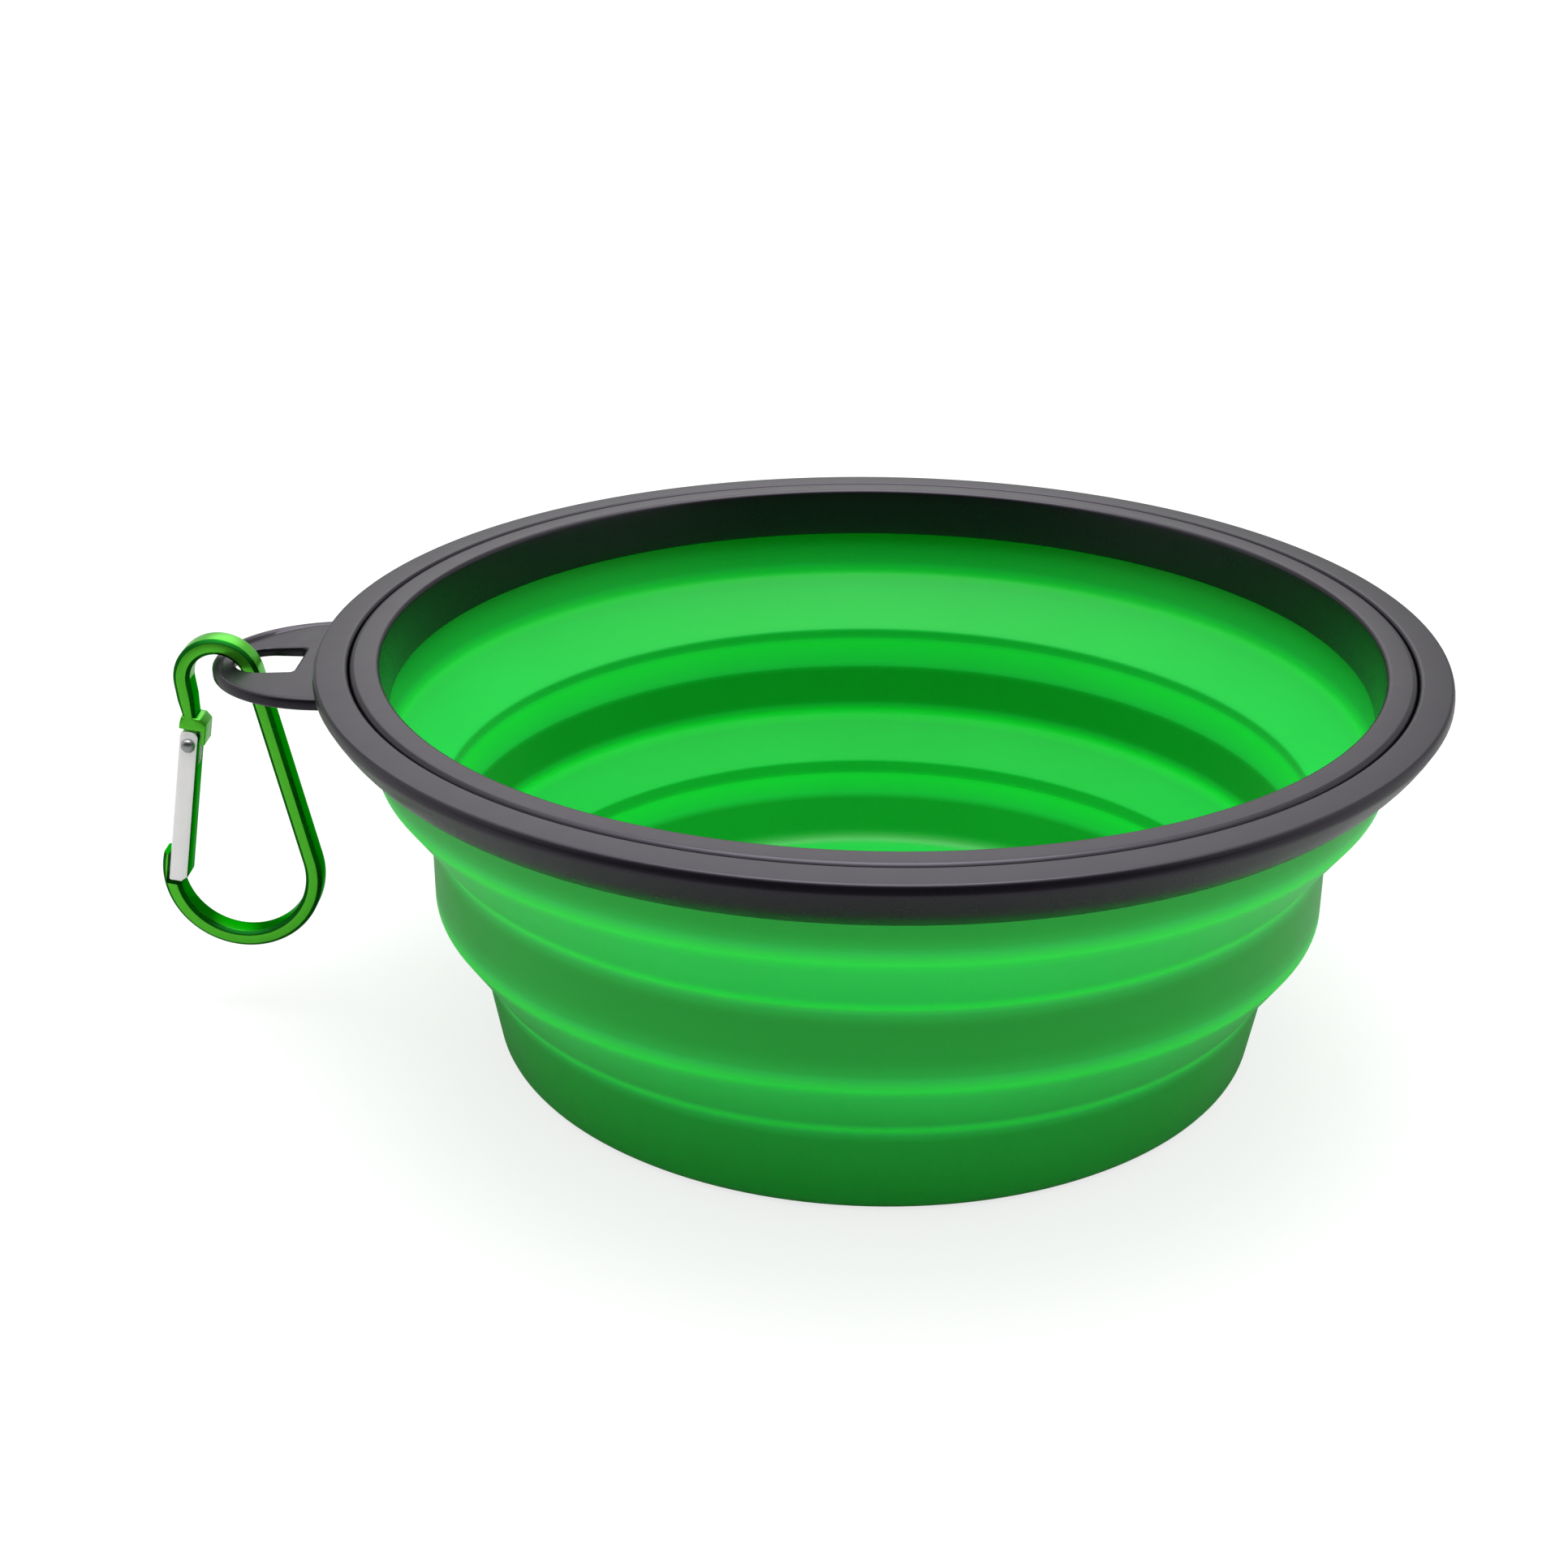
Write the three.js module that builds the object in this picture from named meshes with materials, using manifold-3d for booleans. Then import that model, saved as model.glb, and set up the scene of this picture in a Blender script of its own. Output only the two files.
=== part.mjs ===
// Collapsible travel bowl for a pet: a folding rubber shell clamped in a two-ring rim, with a slotted
// hang tab and a small snap hook hooked through it.
// Millimetres, +Z up. Origin: middle of the underside. The hang tab points to -X.

import * as THREE from 'three';
import { mergeVertices } from 'three/addons/utils/BufferGeometryUtils.js';
import Module from 'manifold-3d';

const wasm = await Module();
wasm.setup();

// Rubber shell: outer radii and heights of the three bands and of the two fold webs between them
const shellWall = 1.5;
const bandWall = 2.5;
const shoulderHeight = 3.2;
const foldLip = 1.8;
const floorThickness = 2.0;
const baseRadius = 45.7;
const baseEdgeRadius = 1.6;
const baseTopRadius = 47.7;
const baseHeight = 11.3;
const lowerFoldHeight = 7.6;
const middleRadius = 52.8;
const middleHeight = 9.7;
const upperFoldHeight = 8.0;
const upperHeight = 5.7;
const upperFlare = 1.3;
const floorFillet = 2.4;
const sectionGap = 0.05;

// Bead on the shell's upper edge, held between the two rim rings
const beadWidth = 1.1;
const beadRise = 1.2;
const beadHeight = 2.3;
const clampClearance = 0.25;

// Rim rings; the shell's neck and top band follow the rim
const rimOuterRadius = 65.0;
const rimWidth = 5.1;
const rimTopDrop = 0.2;
const rimEdgeHeight = 5.0;
const rimTopEdge = 0.5;
const rimFlankWidth = 2.55;
const rimFlankRise = 1.9;
const rimLipWidth = 0.8;
const rimLipDrop = 0.1;
const skirtLift = 0.3;
const rimCoverThickness = 2.5;
const skirtThickness = 0.95;
const skirtTaper = 0.9;
const skirtEdgeRadius = 0.8;
const rimSeamGap = 0.3;

// Hang tab on the rim's flank
const tabReach = 13.4;
const tabHalfWidth = 13.0;
const tabThickness = 1.5;
const tabRise = 0.9;
const tabEdge = 0.35;
const tabRidgeWidth = 1.0;
const tabRidgeRise = 0.35;
const tabRootInset = 1.0;
const tabRootDepth = 4.0;
const tabBarWidth = 1.6;
const slotWidth = 8.0;
const slotLength = 8.6;
const slotCorner = 0.8;

// Snap hook: bent bar with a small hook arc, a straight spine and a wide bow
const wireWidth = 2.0;
const wireDepth = 3.2;
const wireCorner = 0.45;
const hookRadius = 4.25;
const hookTail = 6;
const hookOffset = 0.5;
const hangClearance = 0.3;
const bowRadius = 8.8;
const bowDrop = 25.4;
const bowShift = 0.75;
const bowEndRise = 17;

// Gate of the snap hook, its rivet and its spring
const pivotAcross = 4.15;
const pivotDrop = 8.3;
const gateWidth = 2.3;
const gateDepth = 3.2;
const gateHeadRadius = 1.75;
const gateChamfer = 0.7;
const gateInset = 0.82;
const gateEndAngle = 7;
const gateEndGap = 0.5;
const gateClearance = 0.28;
const tongueThickness = 0.8;
const tongueReach = 1.15;
const tongueWidth = 2.0;
const collarHeight = 1.6;
const collarTopWidth = 2.3;
const collarOverhang = 0.15;
const earThickness = 0.5;
const earLift = 0.3;
const rivetRadius = 0.5;
const rivetHeadRadius = 0.85;
const rivetHeadHeight = 0.45;
const rivetHeadEdge = 0.15;
const rivetPlay = 0.25;
const boreRadius = 0.8;
const boreDepth = 7.6;
const slotDepth = 1.5;
const plungerRadius = 0.5;
const plungerLength = 1.3;
const plungerDome = 0.25;
const springRadius = 0.46;
const springWire = 0.22;
const springTurns = 6;
const domeShare = 0.6;

// Facets
const ringSteps = 60;
const wireSteps = 56;
const roundSteps = 12;
const arcSteps = 4;
const coilSteps = 8;
const coilSides = 5;
const mergeTolerance = 1e-4;
const cutMargin = 2.0;

// Heights that follow from the sizes above
const lowerFoldTop = baseHeight + lowerFoldHeight;
const middleTop = lowerFoldTop + middleHeight;
const upperFoldTop = middleTop + upperFoldHeight;
const neckBottom = upperFoldTop + upperHeight;
const beadBottom = neckBottom + beadRise;
const beadTop = beadBottom + beadHeight;
const rimBottom = neckBottom - rimLipDrop;
const rimTop = beadTop + clampClearance + rimCoverThickness;

// Radii that follow from the sizes above
const neckRadius = rimOuterRadius - rimWidth;
const upperRadius = neckRadius - upperFlare;
const beadRadius = neckRadius + beadWidth;
const neckInnerRadius = neckRadius - shellWall;
const pocketRadius = beadRadius + clampClearance;
const seamRadius = beadRadius;

const rubber = new THREE.MeshStandardMaterial({ color: 0x1f9a3c, roughness: 0.55, metalness: 0 });
const rubberWeb = new THREE.MeshStandardMaterial({ color: 0x2fb552, roughness: 0.55, metalness: 0 });
const blackPlastic = new THREE.MeshStandardMaterial({ color: 0x1b1b1d, roughness: 0.4, metalness: 0 });
const greenMetal = new THREE.MeshStandardMaterial({ color: 0x3fae2c, roughness: 0.3, metalness: 0.9 });
const bareMetal = new THREE.MeshStandardMaterial({ color: 0xc9c5c8, roughness: 0.35, metalness: 1 });
const springSteel = new THREE.MeshStandardMaterial({ color: 0x8d8f92, roughness: 0.3, metalness: 1 });

// A closed profile of (radius, height) points turned about Z
function revolve(points) {
  const geometry = new THREE.LatheGeometry(points, ringSteps);
  geometry.rotateX(Math.PI / 2);
  return geometry;
}

function radial(list) {
  return list.map(([radius, height]) => new THREE.Vector2(radius, height));
}

function closedLoop(points) {
  return [...points, points[0].clone()];
}

// Points of a circular arc from one angle to another, in degrees
function arc(centreX, centreY, radius, fromAngle, toAngle, steps = arcSteps) {
  const points = [];
  for (let i = 0; i <= steps; i += 1) {
    const angle = THREE.MathUtils.degToRad(fromAngle + ((toAngle - fromAngle) * i) / steps);
    points.push(new THREE.Vector2(centreX + radius * Math.cos(angle), centreY + radius * Math.sin(angle)));
  }
  return points;
}

function solid(geometry) {
  const bare = geometry.clone();
  bare.deleteAttribute('normal');
  bare.deleteAttribute('uv');
  const merged = mergeVertices(bare, mergeTolerance);
  const vertProperties = new Float32Array(merged.attributes.position.array);
  const triVerts = new Uint32Array(merged.index.array);
  return new wasm.Manifold(new wasm.Mesh({ numProp: 3, vertProperties, triVerts }));
}

function geometryOf(manifold) {
  const mesh = manifold.getMesh();
  const geometry = new THREE.BufferGeometry();
  geometry.setAttribute('position', new THREE.BufferAttribute(new Float32Array(mesh.vertProperties), 3));
  geometry.setIndex(new THREE.BufferAttribute(new Uint32Array(mesh.triVerts), 1));
  geometry.computeVertexNormals();
  return geometry;
}

function part(name, geometry, material) {
  const mesh = new THREE.Mesh(geometry, material);
  mesh.name = name;
  return mesh;
}

// A stiff band: thick over most of its height, with a sloping shoulder inside up to the fold above it
function stiffBand(radius, bottom, top) {
  return revolve(closedLoop(radial([
    [radius, bottom],
    [radius, top],
    [radius - shellWall, top],
    [radius - bandWall, top - shoulderHeight],
    [radius - bandWall, bottom],
  ])));
}

// A fold web: a thinner cone between two bands, with an upright lip inside at its lower fold
function foldWeb(lowerRadius, bottom, upperRadiusOut, upperRadiusIn, top) {
  return revolve(closedLoop(radial([
    [lowerRadius, bottom + sectionGap],
    [upperRadiusOut, top - sectionGap],
    [upperRadiusIn, top - sectionGap],
    [lowerRadius - shellWall, bottom + foldLip],
    [lowerRadius - shellWall, bottom + sectionGap],
  ])));
}

function baseCup() {
  const floorRadius = baseRadius - bandWall;
  return revolve([
    new THREE.Vector2(0, 0),
    ...arc(baseRadius - baseEdgeRadius, baseEdgeRadius, baseEdgeRadius, -90, 0),
    new THREE.Vector2(baseTopRadius, baseHeight),
    new THREE.Vector2(baseTopRadius - shellWall, baseHeight),
    new THREE.Vector2(baseTopRadius - bandWall, baseHeight - shoulderHeight),
    ...arc(floorRadius - floorFillet, floorThickness + floorFillet, floorFillet, 0, -90),
    new THREE.Vector2(0, floorThickness),
  ]);
}

function lowerWeb() {
  return foldWeb(baseTopRadius, baseHeight, middleRadius, middleRadius - bandWall, lowerFoldTop);
}

function upperWeb() {
  return foldWeb(middleRadius, middleTop, upperRadius, upperRadius - shellWall, upperFoldTop);
}

// The top band leans out, runs up behind the rim's skirt and ends in a bead
function upperBand() {
  return revolve(closedLoop(radial([
    [upperRadius, upperFoldTop + sectionGap],
    [neckRadius, neckBottom],
    [neckRadius, beadBottom],
    [beadRadius, beadBottom],
    [beadRadius, beadTop],
    [neckInnerRadius, beadTop],
    [neckInnerRadius, neckBottom],
    [upperRadius - shellWall, upperFoldTop + sectionGap],
  ])));
}

// Flank of the rim, from the lip under it round its widest line to the seam on top
function rimFlank(grow = 0) {
  const lipRadius = neckRadius + clampClearance + rimLipWidth;
  const topEdgeRadius = rimOuterRadius - rimTopEdge;
  const flank = new THREE.Path();
  flank.moveTo(lipRadius + grow, rimBottom);
  flank.quadraticCurveTo(
    lipRadius + rimFlankWidth + grow, rimBottom + rimFlankRise,
    rimOuterRadius + grow, rimBottom + rimEdgeHeight,
  );
  const topEdge = rimTop - rimTopDrop;
  flank.quadraticCurveTo(rimOuterRadius + grow, topEdge, topEdgeRadius, topEdge + grow);
  flank.lineTo(seamRadius + rimSeamGap / 2, rimTop + grow);
  return flank.getPoints(arcSteps);
}

function rimOuterRing() {
  const lipInner = neckRadius + clampClearance;
  return revolve(closedLoop([
    ...rimFlank(),
    new THREE.Vector2(seamRadius + rimSeamGap / 2, beadTop + clampClearance),
    new THREE.Vector2(pocketRadius, beadTop),
    new THREE.Vector2(pocketRadius, beadBottom - clampClearance),
    new THREE.Vector2(lipInner, beadBottom - clampClearance),
    new THREE.Vector2(lipInner, rimBottom),
  ]));
}

// The inner ring covers the bead and hides the shell's edge behind a skirt
function rimInnerRing() {
  const skirtOuter = neckInnerRadius - clampClearance;
  const skirtInner = skirtOuter - skirtThickness;
  const topInner = skirtInner + skirtTaper;
  return revolve(closedLoop([
    new THREE.Vector2(skirtOuter, rimBottom + skirtLift),
    new THREE.Vector2(skirtOuter, beadTop + clampClearance),
    new THREE.Vector2(seamRadius - rimSeamGap / 2, beadTop + clampClearance),
    new THREE.Vector2(seamRadius - rimSeamGap / 2, rimTop),
    ...arc(topInner + skirtEdgeRadius, rimTop - skirtEdgeRadius, skirtEdgeRadius, 90, 180),
    new THREE.Vector2(skirtInner, rimBottom + skirtLift),
  ]));
}

// Hang tab: half of an ellipse with a slot, cut to the flank of the rim
const tabTip = rimOuterRadius + tabReach;
const tabRoot = rimOuterRadius - tabRootInset;
const tabBottom = rimBottom + tabRise;
const tabTop = tabBottom + tabThickness;
const barMiddle = tabTip - tabBarWidth / 2;

function slabUp(shape, bottom, top) {
  const geometry = new THREE.ExtrudeGeometry(shape, {
    depth: top - bottom,
    bevelEnabled: false,
    curveSegments: roundSteps,
  });
  geometry.translate(0, 0, bottom);
  return geometry;
}

// Outline of the tab, drawn in from its edge by the given amount
function tabOutline(inset = 0) {
  const quarter = Math.PI / 2;
  const halfWidth = tabHalfWidth - inset;
  const outline = new THREE.Shape();
  outline.moveTo(-tabRoot + tabRootDepth, halfWidth);
  outline.lineTo(-tabRoot, halfWidth);
  outline.absellipse(-tabRoot, 0, tabTip - tabRoot - inset, halfWidth, quarter, 3 * quarter, false, 0);
  outline.lineTo(-tabRoot + tabRootDepth, -halfWidth);
  return outline;
}

function tabPlate(outline, bottom, top) {
  const plate = new THREE.ExtrudeGeometry(outline, {
    depth: top - bottom - 2 * tabEdge,
    bevelThickness: tabEdge,
    bevelSize: tabEdge,
    bevelOffset: -tabEdge,
    bevelSegments: 2,
    curveSegments: roundSteps,
  });
  plate.translate(0, 0, bottom + tabEdge);
  return plate;
}

// A plate with a raised edge and a slot that leaves a narrow bar at the tip
function hangTab() {
  const slotEnd = tabTip - tabBarWidth;
  const slotRound = slotWidth / 2;
  const slotStart = slotEnd - slotLength + slotCorner;
  const cornerMiddle = slotRound - slotCorner;
  const quarter = Math.PI / 2;
  const slot = new THREE.Path();
  slot.absarc(-slotStart, -cornerMiddle, slotCorner, -quarter, 0, false);
  slot.absarc(-slotStart, cornerMiddle, slotCorner, 0, quarter, false);
  slot.absarc(-slotEnd + slotRound, 0, slotRound, quarter, 3 * quarter, false);
  const outline = tabOutline();
  outline.holes.push(slot);
  const plate = tabPlate(outline, tabBottom, tabTop);
  const well = slabUp(tabOutline(tabRidgeWidth), tabTop - tabRidgeRise, tabTop + cutMargin);
  const rimBody = revolve(closedLoop([
    ...rimFlank(sectionGap),
    new THREE.Vector2(neckInnerRadius, rimTop),
    new THREE.Vector2(neckInnerRadius, rimBottom),
  ]));
  return geometryOf(solid(plate).subtract(solid(well)).subtract(solid(rimBody)));
}

// Snap hook in its own plane: across is +X, up is +Z, and its origin is the middle of the hook arc
const hookInner = hookRadius - wireWidth / 2;
const hangDrop = Math.sqrt((hookInner - hangClearance) ** 2 - (tabBarWidth / 2 + hookOffset) ** 2);
const hookCentre = new THREE.Vector3(-barMiddle - hookOffset, 0, tabTop - hangDrop);
const bowCentre = new THREE.Vector2(bowShift, -bowDrop);
const pivot = new THREE.Vector2(-pivotAcross, -pivotDrop);
const gateEndTurn = THREE.MathUtils.degToRad(180 + gateEndAngle);
const gateEnd = new THREE.Vector2(Math.cos(gateEndTurn), Math.sin(gateEndTurn))
  .multiplyScalar(bowRadius - gateInset)
  .add(bowCentre);
const gateReach = pivot.distanceTo(gateEnd);
const gateLean = Math.atan2(pivot.x - gateEnd.x, pivot.y - gateEnd.y);
const collarBottom = gateHeadRadius + gateClearance;
const collarTop = collarBottom + collarHeight;

// Turns a shape drawn across and up into a solid of the given depth, centred on the hook's plane
function slab(shape, depth) {
  const geometry = new THREE.ExtrudeGeometry(shape, {
    depth,
    bevelEnabled: false,
    curveSegments: roundSteps,
  });
  geometry.translate(0, 0, -depth / 2);
  geometry.rotateX(Math.PI / 2);
  return geometry;
}

// Carries a solid from the gate's own place, with the pivot at its origin, to where the gate hangs
function atGate(geometry) {
  geometry.rotateY(gateLean);
  geometry.translate(pivot.x, 0, pivot.y);
  return geometry;
}

function polygon(list) {
  return new THREE.Shape(list.map(([across, up]) => new THREE.Vector2(across, up)));
}

function pinAcross(radius, length) {
  return new THREE.CylinderGeometry(radius, radius, length, roundSteps);
}

class FlatCurve extends THREE.Curve {
  constructor(path) {
    super();
    this.path = path;
  }

  getPoint(t, target = new THREE.Vector3()) {
    const point = this.path.getPoint(t);
    return target.set(point.x, 0, point.y);
  }
}

function wireSection() {
  const halfDepth = wireDepth / 2;
  const halfWidth = wireWidth / 2;
  return polygon([
    [halfDepth - wireCorner, -halfWidth],
    [halfDepth, -halfWidth + wireCorner],
    [halfDepth, halfWidth - wireCorner],
    [halfDepth - wireCorner, halfWidth],
    [-halfDepth + wireCorner, halfWidth],
    [-halfDepth, halfWidth - wireCorner],
    [-halfDepth, -halfWidth + wireCorner],
    [-halfDepth + wireCorner, -halfWidth],
  ]);
}

// Middle line of the bent bar: collar, hook arc, straight spine touching both arcs, bow
function wireLine() {
  const tangentTurn = Math.acos((hookRadius - bowRadius) / bowCentre.length());
  const spineTurn = bowCentre.angle() + tangentTurn - 2 * Math.PI;
  const tailTurn = Math.PI + THREE.MathUtils.degToRad(hookTail);
  const bowEndTurn = Math.PI - THREE.MathUtils.degToRad(bowEndRise);
  const collarMiddle = (collarBottom + collarTop) / 2;
  const line = new THREE.Path();
  line.moveTo(pivot.x + collarMiddle * Math.sin(gateLean), pivot.y + collarMiddle * Math.cos(gateLean));
  line.lineTo(hookRadius * Math.cos(tailTurn), hookRadius * Math.sin(tailTurn));
  line.absarc(0, 0, hookRadius, tailTurn, spineTurn, true);
  line.absarc(bowCentre.x, bowCentre.y, bowRadius, spineTurn, bowEndTurn - 2 * Math.PI, true);
  return new FlatCurve(line);
}

function hookFrame() {
  const bar = new THREE.ExtrudeGeometry(wireSection(), { steps: wireSteps, extrudePath: wireLine() });
  const halfGate = gateWidth / 2;
  const earInner = halfGate + gateClearance;
  const collar = slab(polygon([
    [-halfGate - collarOverhang, collarBottom],
    [earInner, collarBottom],
    [earInner, earLift],
    [earInner + earThickness, earLift],
    [earInner + earThickness, collarBottom + collarHeight / 2],
    [collarTopWidth / 2, collarTop],
    [-collarTopWidth / 2, collarTop],
  ]), gateDepth);
  const tongue = slab(polygon([
    [-tongueWidth / 2, collarTop - collarHeight / 2],
    [-tongueWidth / 2, -tongueReach],
    [tongueWidth / 2, -tongueReach],
    [tongueWidth / 2, collarTop - collarHeight / 2],
  ]), tongueThickness);
  const gateRoom = slab(polygon([
    [-halfGate - gateClearance, -gateReach - gateEndGap],
    [gateWidth + cutMargin, -gateReach - gateEndGap],
    [gateWidth + cutMargin, -gateReach / 2],
    [-halfGate - gateClearance, -gateReach / 2],
  ]), gateDepth + cutMargin);
  const rivetHole = pinAcross(rivetRadius + rivetPlay, gateDepth + cutMargin);
  return geometryOf(
    solid(bar)
      .subtract(solid(atGate(gateRoom)))
      .add(solid(atGate(collar)))
      .add(solid(atGate(tongue)))
      .subtract(solid(atGate(rivetHole))),
  );
}

function hookGate() {
  const halfGate = gateWidth / 2;
  const headSide = Math.acos(halfGate / gateHeadRadius);
  const outline = new THREE.Shape();
  outline.moveTo(-halfGate, -gateReach);
  outline.lineTo(halfGate - gateChamfer, -gateReach);
  outline.lineTo(halfGate, -gateReach + gateChamfer);
  outline.absarc(0, 0, gateHeadRadius, headSide, Math.PI - headSide, false);
  const bar = slab(outline, gateDepth);
  const slotFloor = -tongueReach - slotDepth;
  const tongueSlot = slab(polygon([
    [-gateWidth, slotFloor],
    [gateWidth, slotFloor],
    [gateWidth, gateHeadRadius + cutMargin],
    [-gateWidth, gateHeadRadius + cutMargin],
  ]), tongueThickness + 2 * gateClearance);
  const bore = new THREE.CylinderGeometry(boreRadius, boreRadius, boreDepth + slotDepth, roundSteps);
  bore.rotateX(Math.PI / 2);
  bore.translate(0, 0, slotFloor - boreDepth / 2 + slotDepth / 2);
  const rivetHole = pinAcross(rivetRadius + rivetPlay, gateDepth + cutMargin);
  return geometryOf(
    solid(bar)
      .subtract(solid(tongueSlot))
      .subtract(solid(bore))
      .subtract(solid(rivetHole)),
  );
}

function rivet() {
  const shank = gateDepth / 2 + clampClearance / 2;
  const head = shank + rivetHeadHeight;
  const geometry = new THREE.LatheGeometry(radial([
    [0, -head],
    [rivetHeadRadius * domeShare, -head],
    [rivetHeadRadius, -shank - rivetHeadEdge],
    [rivetHeadRadius, -shank],
    [rivetRadius, -shank],
    [rivetRadius, shank],
    [rivetHeadRadius, shank],
    [rivetHeadRadius, shank + rivetHeadEdge],
    [rivetHeadRadius * domeShare, head],
    [0, head],
  ]), roundSteps);
  return geometry;
}

const plungerTop = -tongueReach - clampClearance;
const springTop = plungerTop - plungerLength - springWire / 2 - clampClearance / 2;
const springBottom = -tongueReach - slotDepth - boreDepth + springWire / 2 + clampClearance / 2;

function plunger() {
  const geometry = new THREE.LatheGeometry(radial([
    [0, plungerTop - plungerLength],
    [plungerRadius, plungerTop - plungerLength],
    [plungerRadius, plungerTop - plungerDome],
    [plungerRadius * domeShare, plungerTop],
    [0, plungerTop],
  ]), roundSteps);
  geometry.rotateX(Math.PI / 2);
  return geometry;
}

class Helix extends THREE.Curve {
  getPoint(t, target = new THREE.Vector3()) {
    const turn = 2 * Math.PI * springTurns * t;
    const height = springBottom + (springTop - springBottom) * t;
    return target.set(springRadius * Math.cos(turn), springRadius * Math.sin(turn), height);
  }
}

function spring() {
  const section = new THREE.Shape();
  section.absarc(0, 0, springWire / 2, 0, 2 * Math.PI, false);
  const geometry = new THREE.ExtrudeGeometry(section, {
    steps: springTurns * coilSteps,
    curveSegments: coilSides,
    extrudePath: new Helix(),
  });
  return geometry;
}

const bowl = new THREE.Group();

bowl.add(part('base_cup', baseCup(), rubber));
bowl.add(part('lower_fold_web', lowerWeb(), rubberWeb));
bowl.add(part('middle_band', stiffBand(middleRadius, lowerFoldTop, middleTop), rubber));
bowl.add(part('upper_fold_web', upperWeb(), rubberWeb));
bowl.add(part('upper_band', upperBand(), rubber));
bowl.add(part('rim_outer_ring', rimOuterRing(), blackPlastic));
bowl.add(part('rim_inner_ring', rimInnerRing(), blackPlastic));
bowl.add(part('hang_tab', hangTab(), blackPlastic));

const snapHook = new THREE.Group();
snapHook.position.copy(hookCentre);
snapHook.add(part('carabiner_frame', hookFrame(), greenMetal));

const gateGroup = new THREE.Group();
gateGroup.position.set(pivot.x, 0, pivot.y);
gateGroup.rotation.y = gateLean;
gateGroup.add(part('carabiner_gate', hookGate(), bareMetal));
gateGroup.add(part('gate_rivet', rivet(), bareMetal));
gateGroup.add(part('gate_plunger', plunger(), springSteel));
gateGroup.add(part('gate_spring', spring(), springSteel));
snapHook.add(gateGroup);
bowl.add(snapHook);

export default bowl;
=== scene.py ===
"""Collapsible pet bowl with a hang tab and a snap hook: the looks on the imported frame.

Sizes are in millimetres.
"""

import math

import bmesh
import bpy
from mathutils import Matrix, Vector


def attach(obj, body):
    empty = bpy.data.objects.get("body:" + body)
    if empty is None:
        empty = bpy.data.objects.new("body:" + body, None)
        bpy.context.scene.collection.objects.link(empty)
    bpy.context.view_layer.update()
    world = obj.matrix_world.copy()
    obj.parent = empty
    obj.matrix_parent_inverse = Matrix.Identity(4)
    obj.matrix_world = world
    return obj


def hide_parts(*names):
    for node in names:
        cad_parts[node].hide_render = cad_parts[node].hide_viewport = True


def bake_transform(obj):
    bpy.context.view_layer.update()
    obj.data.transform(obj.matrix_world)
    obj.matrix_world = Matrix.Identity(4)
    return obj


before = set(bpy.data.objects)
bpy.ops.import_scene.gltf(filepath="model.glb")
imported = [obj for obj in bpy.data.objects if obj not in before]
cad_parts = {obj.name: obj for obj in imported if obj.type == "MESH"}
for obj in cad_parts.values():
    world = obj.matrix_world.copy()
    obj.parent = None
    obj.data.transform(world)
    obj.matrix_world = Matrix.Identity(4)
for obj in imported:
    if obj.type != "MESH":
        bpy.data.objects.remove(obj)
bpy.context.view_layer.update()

MM = 0.001
SEGMENTS = 168

# Silicone shell: outer radii, fold heights and walls
BASE_RADIUS = 45.7
BASE_TOP_RADIUS = 47.7
MIDDLE_RADIUS = 52.8
UPPER_RADIUS = 58.6
NECK_RADIUS = 59.9
BASE_TOP = 11.3
LOWER_FOLD_TOP = 18.9
MIDDLE_TOP = 28.6
UPPER_FOLD_TOP = 36.6
NECK_BOTTOM = 42.3
BEAD_BOTTOM = 43.5
BEAD_TOP = 45.8
BEAD_RADIUS = 61.0
WALL = 1.5
BAND_WALL = 2.5
SHOULDER = 3.2
FOLD_LIP = 1.8
FLOOR = 2.0
SPLIT = 23.2

# Corner radii and small steps of the shell
FLOOR_EDGE = 1.6
FLOOR_FILLET = 2.4
FOLD_START_ROUND = 0.9
FOLD_END_ROUND = 1.2
BAND_ROUND = 1.6
SHOULDER_ROUND = 1.0
LIP_ROUND = 0.7
STEP_ROUND = 0.5
LIP_INSET = 0.05
LOWER_STEP_DROP = 0.3
LOWER_BAND_DROP = 0.2
UPPER_STEP_RISE = 0.6
UPPER_BAND_RISE = 0.3
NECK_ROUND = 0.3
BEAD_ROUND = 0.25
BEAD_INNER_ROUND = 0.2
BEAD_LAND = 1.2
NECK_LAND = 0.6
SHELL_STEP = 0.55

# Rim rings
RIM_RADIUS = 65.0
RIM_BOTTOM = 42.2
RIM_TOP = 48.55
RIM_EDGE = 47.2
RIM_TOP_EDGE = 0.5
RIM_TOP_DROP = 0.2
SEAM_RADIUS = 61.0
SEAM_GAP = 0.16
CLAMP_GAP = 0.25
RIM_LIP = 1.05
RIM_LIP_LAND = 0.3
RIM_LIP_ROUND = 0.25
RIM_FLANK_WIDTH = 2.55
RIM_FLANK_RISE = 1.9
RIM_TOP_START = 0.1
RIM_TOP_START_RISE = 0.006
RIM_SEAM_ROUND = 0.5
SKIRT_THICKNESS = 1.45
SKIRT_LEAN = 0.9
SKIRT_LIFT = 0.3
SKIRT_FOOT_START = 0.4
SKIRT_FOOT_END = 0.3
SKIRT_OUTER_ROUND = 0.2
SKIRT_INNER_ROUND = 0.25
SKIRT_TOP_ROUND = 0.6
SKIRT_STEP = 1.2
COVER_SEAM_ROUND = 0.7

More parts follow.
